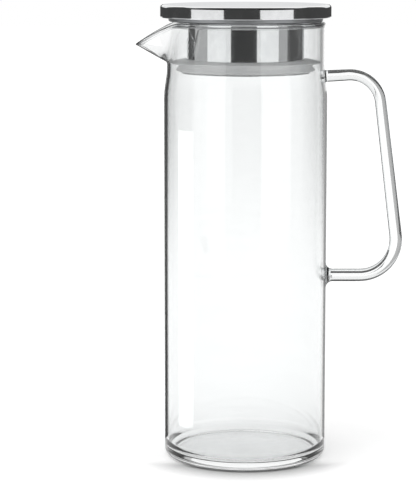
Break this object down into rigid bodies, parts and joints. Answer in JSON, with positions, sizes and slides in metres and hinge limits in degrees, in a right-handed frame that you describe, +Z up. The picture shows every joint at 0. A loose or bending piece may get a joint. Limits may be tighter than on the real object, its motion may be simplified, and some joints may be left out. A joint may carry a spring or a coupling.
{
  "type": "glass pitcher with lid",
  "caption": "Straight glass pitcher with a pulled spout, a bent-rod glass handle and a lift-out steel lid with a strainer and a soft sealing ring.",
  "frame": {"origin": "on the glass's axis, in the plane that the pitcher stands on", "axes": "+Z up along the glass's axis, +X towards the handle, the spout points to -X, +Y away from a viewer who sees the handle on the right"},
  "size_m": [0.1639, 0.104, 0.2794],
  "materials": {
    "glass": "clear, fire-polished",
    "brushed_lid_steel": "brushed top, polished side",
    "core_plastic": "moulded, matt",
    "plate_steel": "polished",
    "polished_steel": "mirror polished",
    "silicone": "translucent, satin"
  },
  "bodies": {
    "pitcher": {"glass_body": "glass", "glass_handle": "glass"},
    "seal": {"seal_ring": "silicone"},
    "lid": {"lid_cover": "brushed_lid_steel", "lid_core": "core_plastic", "lid_plate": "plate_steel", "strainer": "polished_steel"}
  },
  "joints": [
    {"name": "lid_lift", "type": "slide", "parent": "pitcher", "child": "seal", "axis": [0, 0, 1], "range_m": [0, 0.06]},
    {"name": "lid_turn", "type": "hinge", "parent": "seal", "child": "lid", "pos_m": [0, 0, 0.2454], "axis": [0, 0, 1], "continuous": true}
  ]
}
